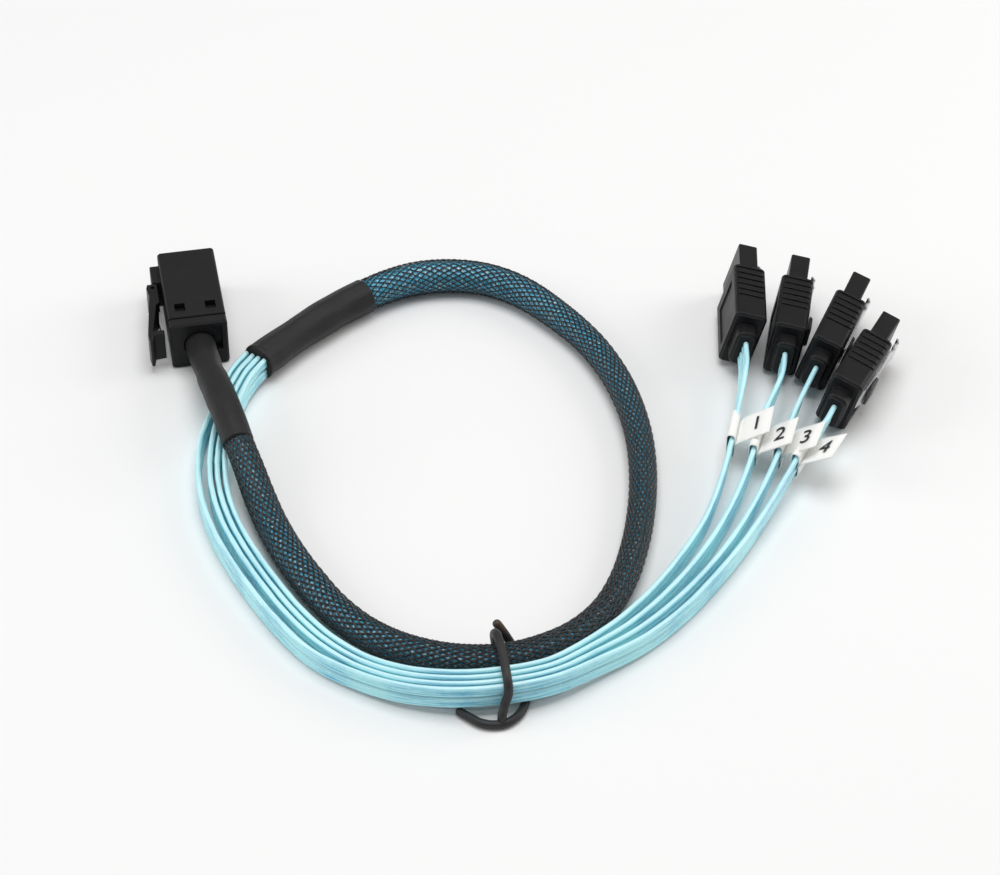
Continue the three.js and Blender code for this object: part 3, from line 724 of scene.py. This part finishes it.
def tail_points(column, row):
    """One ribbon's points from the fan to its plug."""
    rise = (row - 0.5) * ROW_PITCH
    lean = math.sin(math.radians(SATA_PLUGS[column][2]))
    result = [(x + rise * lean * LEAN_SHARE, y, z + rise) for x, y, z in TAIL_ROUTES[column]]
    place = plug_place(column)
    for back in (TAIL_LEAD, GAP):
        inside = Vector((0, -SATA_BODY.y - RELIEF_LENGTH - back, SATA_BODY.z / 2 + rise))
        result.append(tuple(place @ inside))
    return result


# Half of a ribbon's outline, from its top edge to its bottom edge: two conductors and a waist
RIBBON_OUTLINE = [
    (0.0, 1.0), (0.30, 0.975), (0.72, 0.86), (0.98, 0.66), (1.0, 0.44), (0.90, 0.24), (0.72, 0.08),
    (0.72, -0.08), (0.90, -0.24), (1.0, -0.44), (0.98, -0.66), (0.72, -0.86), (0.30, -0.975),
]


def ribbon_section(line, seed):
    """The flat ribbon's offsets, dented a little by its own handling, more so near the breakout."""
    half = [(x * RIBBON_THICKNESS / 2, z * RIBBON_WIDTH / 2) for x, z in RIBBON_OUTLINE]
    ring = half + [(-x, -z) for x, z in half]

    def offsets(column, row):
        x, z = ring[column]
        at = line.at[row] * line.length
        depth = HANDLING_DEPTH + CRINKLE_DEPTH * math.exp(-at / CRINKLE_REACH)
        dent = wobble(at, column * 0.0006, seed * 0.1, CRINKLE_WAVE) * depth
        slimming = 0.9 + 0.05 * wobble(at, seed, 0, 0.02)
        return x * slimming + dent * (1 if x > 0 else -1), z * 0.985
    return offsets, len(ring)


class CABLE_OT_ribbons(bpy.types.Operator):
    """Makes the eight flat blue ribbons from the breakout to the SATA plugs"""

    bl_idname = "cable.ribbons"
    bl_label = "Make the ribbons"

    def execute(self, context):
        film = ribbon_film("ribbon_film", looks().ribbon)
        for column in range(4):
            for row, letter in enumerate("ba"):
                route = trunk_points(column, row) + tail_points(column, row)
                line = Line(route, RIBBON_STATIONS, SATA_PLUGS[column][2])
                offsets, columns = ribbon_section(line, column * 2 + row + 1)
                node = f"ribbon_{column + 1}{letter}"
                piece = sweep(f"{node}_film", line, columns, offsets, film)
                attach(piece, "root")
                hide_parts(node)
                tuple(line.points[0])
        return {"FINISHED"}


def sleeve_radius(share):
    """The outer radius of the sleeve at a share of its length."""
    shares, radii = zip(*SLEEVE_SWELL)
    return float(np.interp(share, shares, radii))


def add_strand(bm, line, start, way, turns):
    """Winds one strand of the braid round the line, over and under those of the other way."""
    rows = len(line.at) - 1
    thick = sizes().strand_thickness
    shares, widths = zip(*SLEEVE_OPENING)
    rise = sizes().braid_depth - thick
    # The strand's section: an edge, its crown, the other edge and its back
    section = [(-0.5, 0.0), (0.0, thick / 2), (0.5, 0.0), (0.0, -thick / 2)]

    def place(column, row):
        side, out = section[column]
        share = line.at[row]
        side *= sizes().strand_width * float(np.interp(share, shares, widths))
        outer = sleeve_radius(share)
        slope = math.atan2(2 * math.pi * outer * turns, line.length)
        crossing = 2 * turns * STRANDS * share
        over = 0.5 + 0.5 * way * math.cos(math.pi * crossing)
        radius = outer - thick / 2 - rise * (1 - over) + out
        angle = 2 * math.pi * (start / STRANDS + way * turns * share)
        angle += side * math.cos(slope) / radius
        centre = line.points[row] - line.tangents[row] * way * side * math.sin(slope)
        across = line.across[row] * math.cos(angle) + line.up[row] * math.sin(angle)
        return Vector(centre + across * radius)

    wrap_grid(bm, len(section), rows, place)


class CABLE_OT_sleeve(bpy.types.Operator):
    """Makes the braided sleeve from its strands, with the ribbons' bundle inside it"""

    bl_idname = "cable.sleeve"
    bl_label = "Make the braided sleeve"

    def execute(self, context):
        length = Line(SLEEVE_ROUTE, 2).length
        crossings = round(2 * STRANDS * length / sizes().braid_lead)
        turns = crossings / (2 * STRANDS)
        line = Line(SLEEVE_ROUTE, crossings * 2 + 1)
        line.seat(sleeve_radius)
        bm = bmesh.new()
        bm.loops.layers.uv.new(UV_NAME)
        for start in range(STRANDS):
            for way in (1, -1):
                add_strand(bm, line, start, way, turns)
        close_ends(bm)
        braid = finish_object(bm, "sleeve_braid", braid_yarn("braid_yarn", looks().yarn))
        core_line = Line(SLEEVE_ROUTE, CORE_STATIONS)
        core_line.seat(sleeve_radius)

        def radius_at(angle, row):
            ribs = CORE_RIB * math.cos(RIBBON_COUNT * angle + CORE_TWIST * core_line.at[row])
            return sleeve_radius(core_line.at[row]) - sizes().braid_depth - CORE_RIB + ribs

        look = sleeve_core("sleeve_core", looks().core)
        core = sweep_tube("sleeve_core", core_line, TUBE_COLUMNS, radius_at, look)
        for piece in (braid, core):
            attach(piece, "root")
        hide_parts("braided_sleeve")
        tuple(line.points[0])
        return {"FINISHED"}


class CABLE_OT_shrinks(bpy.types.Operator):
    """Makes the two heat-shrink tubes, with the ridges of what they grip"""

    bl_idname = "cable.shrinks"
    bl_label = "Make the shrink tubes"

    def execute(self, context):
        boot_line = Line(BOOT_ROUTE, BOOT_STATIONS)

        def boot_radius(angle, row):
            at = boot_line.at[row]
            grip = 0.06 * bump_at(at, 0.36, 0.1)
            step = 0.035 * max(0.0, math.tanh((at - 0.42) / 0.02))
            share = 0.985 - grip + step + 0.02 * math.cos(2 * angle)
            return BOOT_RADIUS * share + 0.00012 * lumps(at, angle, 0.04, 0.003, 0.005)

        breakout_line = Line(BREAKOUT_ROUTE, BREAKOUT_STATIONS)

        def breakout_radius(angle, row):
            at = breakout_line.at[row]
            share = 0.95 - 0.05 * bump_at(at, 0.62, 0.16) + 0.03 * bump_at(at, 0.985, 0.02)
            ridges = 0.00006 * math.cos(RIBBON_COUNT * angle)
            swelling = 0.00014 * lumps(at, angle, 0.034, 0.004, 0.006)
            return BREAKOUT_RADIUS * share + ridges + swelling

        look = shrink_tube("shrink_tube", looks().shrink)
        for node, line, radius_at in (
            ("sas_boot_shrink", boot_line, boot_radius),
            ("breakout_shrink", breakout_line, breakout_radius),
        ):
            piece = sweep_tube(f"{node}_tube", line, TUBE_COLUMNS, radius_at, look)
            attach(piece, "root")
            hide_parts(node)
        return {"FINISHED"}


class CABLE_OT_tie(bpy.types.Operator):
    """Makes the rubber-skinned wire tie round the bundle"""

    bl_idname = "cable.tie"
    bl_label = "Make the wire tie"

    def execute(self, context):
        look = tie_rubber("tie_rubber", looks().rubber)
        for name, route, stations in (
            ("tie_wire", TIE_WIRE, WIRE_STATIONS), ("tie_ring", TIE_RING, RING_STATIONS),
        ):
            line = Line(route, stations)

            def radius_at(angle, row, line=line):
                from_end = min(line.at[row], 1 - line.at[row]) * line.length
                rounding = min(from_end / TIE_RADIUS, 1.0)
                tip = math.sqrt(max(1 - (1 - rounding) ** 2, 0.02))
                skin = 0.97 + 0.03 * wobble(line.at[row] * 0.06, 0, angle * 0.002, 0.003)
                return TIE_RADIUS * tip * skin

            piece = sweep_tube(name, line, TIE_COLUMNS, radius_at, look)
            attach(piece, "root")
            if name == "tie_wire":
                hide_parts("wire_tie")
        return {"FINISHED"}


# A tag's outline across its ribbons, in millimetres: round the pair, and out along the flap
TAG_LOOP = [
    (0.85, 0.10), (0.95, 0.9), (0.90, 2.7), (0.55, 3.15), (0.0, 3.25), (-0.55, 3.15), (-0.90, 2.7),
    (-0.95, 0.0), (-0.90, -2.7), (-0.55, -3.15), (0.0, -3.25), (0.55, -3.15), (0.90, -2.7),
    (0.95, -0.9), (0.85, -0.12),
]
TAG_FLAP = (10.1, 7.5, 5.0, 2.6)
TAG_FLAP_HALF = 0.1
# The rest of a tag, in metres
TAG_LENGTH = 0.0088
TAG_CURL = 0.00018
FIGURE_SIZE = 0.0062
FIGURE_THICKNESS = 0.00002
FIGURE_PLACE = (0.0064, 0, 0.00032)


def tag_place(column):
    """Where a tag sits: the middle of its pair, turned so that Y runs along the ribbons."""
    start, end = (Vector(p) for p in TAIL_ROUTES[column][-2:])
    ahead = end - start
    turn = Matrix.Rotation(math.atan2(-ahead.x, ahead.y), 4, "Z")
    return Matrix.Translation((start + end) / 2) @ turn


def tag_outline():
    """The tag's outline in metres: in along the flap's top, round the pair and out below it."""
    lift = math.radians(TAG_LIFT)
    flap = [(r * math.cos(lift), r * math.sin(lift)) for r in TAG_FLAP]
    aside, rise = TAG_FLAP_HALF * math.sin(lift), TAG_FLAP_HALF * math.cos(lift)
    top = [(x - aside, z + rise) for x, z in flap]
    under = [(x + aside, z - rise) for x, z in reversed(flap)]
    return [(x / 1000, z / 1000) for x, z in top + TAG_LOOP + under]


def make_tag(column, paper, ink):
    """One tag folded round its pair of ribbons, with its number."""
    outline = tag_outline()
    place = tag_place(column)
    bm = bmesh.new()
    bm.loops.layers.uv.new(UV_NAME)
    columns = len(outline) - 1
    made = bmesh.ops.create_grid(
        bm, x_segments=columns, y_segments=TAG_ROWS, size=1.0, calc_uvs=True,
    )
    for vert in made["verts"]:
        x, z = outline[round((vert.co.x + 1) / 2 * columns)]
        y = vert.co.y * TAG_LENGTH / 2
        curl = TAG_CURL * wobble(x, y, column, 0.006)
        vert.co = place @ Vector((x, y, z + curl))
    bmesh.ops.recalc_face_normals(bm, faces=bm.faces)
    bmesh.ops.solidify(bm, geom=list(bm.faces), thickness=sizes().tag_thickness)
    piece = finish_object(bm, f"tag_{column + 1}_paper", paper)
    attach(piece, "root")
    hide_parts(f"tag_{column + 1}")
    figure = make_number(column, place, ink)
    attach(figure, "root")


def make_number(column, place, ink):
    """The tag's number as thin raised print, seated on the flap."""
    curve = bpy.data.curves.new(f"tag_{column + 1}_number", "FONT")
    curve.body = str(column + 1)
    curve.size = FIGURE_SIZE
    curve.extrude = FIGURE_THICKNESS
    curve.align_x = "CENTER"
    curve.align_y = "CENTER"
    text = bpy.data.objects.new("text", curve)
    bpy.context.scene.collection.objects.link(text)
    graph = bpy.context.evaluated_depsgraph_get()
    mesh = bpy.data.meshes.new_from_object(text.evaluated_get(graph))
    bpy.data.objects.remove(text)
    bpy.data.curves.remove(curve)
    flap = Matrix.Rotation(math.radians(-TAG_LIFT), 4, "Y")
    mesh.transform(place @ flap @ Matrix.Translation(FIGURE_PLACE))
    mesh.name = f"tag_{column + 1}_number"
    mesh.materials.clear()
    mesh.materials.append(ink)
    figure = bpy.data.objects.new(mesh.name, mesh)
    bpy.context.scene.collection.objects.link(figure)
    return figure


class CABLE_OT_tags(bpy.types.Operator):
    """Makes the folded paper tags and their numbers"""

    bl_idname = "cable.tags"
    bl_label = "Make the tags"

    def execute(self, context):
        paper = tag_paper("tag_paper", looks().paper)
        ink = moulded_plastic("tag_ink", looks().ink, 0.6)
        for column in range(4):
            make_tag(column, paper, ink)
        return {"FINISHED"}


class CABLE_OT_sas_plug(bpy.types.Operator):
    """Finishes the mini SAS HD plug: shell, cover, latch, spring and cards"""

    bl_idname = "cable.sas_plug"
    bl_label = "Finish the mini SAS HD plug"

    def execute(self, context):
        shell = moulded_plastic("shell_plastic", looks().shell, 0.46, 0.00003)
        steel = sheet_metal("spring_steel", looks().steel, 0.22)
        for node, body in (
            ("sas_housing", "root"), ("sas_rear_cover", "root"), ("sas_latch", "sas_latch_body"),
        ):
            change = sink_windows if node == "sas_housing" else None
            piece = eased_copy(node, f"{node}_shell", shell, sizes().edge_ease, change)
            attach(piece, body)
        dress("sas_latch_spring", steel)
        card = solder_mask("card_mask", looks().card)
        for side in ("left", "right"):
            dress(f"sas_paddle_card_{side}", card)
        return {"FINISHED"}


class CABLE_OT_sata_plugs(bpy.types.Operator):
    """Finishes the four SATA plugs: bodies, noses, contact wafers, latches and press pads"""

    bl_idname = "cable.sata_plugs"
    bl_label = "Finish the SATA plugs"

    def execute(self, context):
        plug = moulded_plastic("plug_plastic", looks().plug, 0.42, 0.00003)
        nose = moulded_plastic("nose_plastic", looks().nose, 0.34, 0.00001)
        # Painted highlights for the rounded edges of the bodies, press pads and noses
        plug_edge_highlight = moulded_plastic("plug_painted_highlight", looks().plug_edge_highlight, 0.4, 0.00001)
        nose_edge_highlight = moulded_plastic("nose_painted_highlight", looks().nose_edge_highlight, 0.3, 0.00001)
        steel = sheet_metal("latch_steel", looks().steel, 0.2)
        gilt = sheet_metal("contact_gilt", looks().gilt, 0.25)
        for number in (1, 2, 3, 4):
            # edge: the painted highlight finish for each part's rounded edges
            for part, look, edge, rounding, slot, body in (
                ("overmould", plug, plug_edge_highlight, BODY_ROUNDING, "plug_plastic", "root"),
                ("nose", nose, nose_edge_highlight, NOSE_ROUNDING, "nose_plastic", "root"),
                ("press_pad", plug, plug_edge_highlight, BODY_ROUNDING, "plug_plastic", f"sata_{number}_latch_body"),
            ):
                node = f"sata_{number}_{part}"
                width = sizes().edge_ease * rounding
                piece = eased_copy(node, f"{node}_moulding", look, width, edge=edge)
                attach(piece, body)
            dress(f"sata_{number}_wafer", gilt)
            dress(f"sata_{number}_latch", steel)
        return {"FINISHED"}


def add_softbox(name, place, size, power, colour):
    data = bpy.data.lights.new(name, "AREA")
    data.shape = "RECTANGLE"
    data.size, data.size_y = size
    data.energy = power
    data.color = colour
    lamp = bpy.data.objects.new(name, data)
    lamp.location = place
    lamp.rotation_euler = (Vector(LAMPS_AIM) - Vector(place)).to_track_quat("-Z", "Y").to_euler()
    bpy.context.scene.collection.objects.link(lamp)


class CABLE_OT_camera(bpy.types.Operator):
    """Sets the camera at the height and distance of a product shot"""

    bl_idname = "cable.camera"
    bl_label = "Set the camera"

    def execute(self, context):
        data = bpy.data.cameras.new("camera")
        data.lens = LENS
        data.sensor_width = SENSOR
        data.sensor_fit = "HORIZONTAL"
        data.clip_start = 0.01
        camera = bpy.data.objects.new("camera", data)
        camera.location = EYE
        camera.rotation_euler = (LOOK_AT - EYE).to_track_quat("-Z", "Y").to_euler()
        context.scene.collection.objects.link(camera)
        context.scene.camera = camera
        return {"FINISHED"}


class CABLE_OT_stage(bpy.types.Operator):
    """Makes the pale table top, the soft lamps and the sky"""

    bl_idname = "cable.stage"
    bl_label = "Make the stage"

    def execute(self, context):
        bm = bmesh.new()
        bmesh.ops.create_grid(bm, x_segments=1, y_segments=1, size=TABLE_REACH)
        graph = Graph("table_top", roughness=0.6, specular_ior_level=0.25)
        cloud = graph.noise(graph.place(), 2.5, 2.0)
        graph.colour(graph.mix(cloud, shade(looks().floor, 0.985), shade(looks().floor, 1.015)))
        floor = finish_object(bm, "table_top", graph.material, smooth=False)
        for softbox in SOFTBOXES:
            add_softbox(*softbox)
        world = bpy.data.worlds.new("sky")
        bpy.context.scene.world = world
        world.use_nodes = True
        sky = world.node_tree.nodes["Background"]
        sky.inputs["Color"].default_value = (1, 1, 1, 1)
        sky.inputs["Strength"].default_value = SKY_STRENGTH
        bpy.context.scene.view_settings.view_transform = "Standard"
        return {"FINISHED"}


class CABLE_PT_steps(bpy.types.Panel):
    """Lists the steps that dress the cable"""

    bl_idname = "CABLE_PT_steps"
    bl_label = "Breakout cable"
    bl_space_type = "VIEW_3D"
    bl_region_type = "UI"
    bl_category = "Cable"

    def draw(self, context):
        for group in (context.scene.cable_sizes, context.scene.cable_looks):
            box = self.layout.box()
            for label in group.__annotations__:
                box.prop(group, label)
        for step in STEPS:
            self.layout.operator(step.bl_idname)


STEPS = (
    CABLE_OT_camera, CABLE_OT_ribbons, CABLE_OT_sleeve, CABLE_OT_shrinks, CABLE_OT_tie, CABLE_OT_tags,
    CABLE_OT_sas_plug, CABLE_OT_sata_plugs, CABLE_OT_stage,
)
CLASSES = (CableSizes, CableLooks) + STEPS + (CABLE_PT_steps,)


def register():
    for item in CLASSES:
        bpy.utils.register_class(item)
    bpy.types.Scene.cable_sizes = PointerProperty(type=CableSizes)
    bpy.types.Scene.cable_looks = PointerProperty(type=CableLooks)


def unregister():
    del bpy.types.Scene.cable_looks
    del bpy.types.Scene.cable_sizes
    for item in reversed(CLASSES):
        bpy.utils.unregister_class(item)


def main():
    register()
    for step in (
        bpy.ops.cable.camera, bpy.ops.cable.ribbons, bpy.ops.cable.sleeve, bpy.ops.cable.shrinks,
        bpy.ops.cable.tie, bpy.ops.cable.tags, bpy.ops.cable.sas_plug, bpy.ops.cable.sata_plugs,
        bpy.ops.cable.stage,
    ):
        step()


if __name__ == "__main__":
    main()
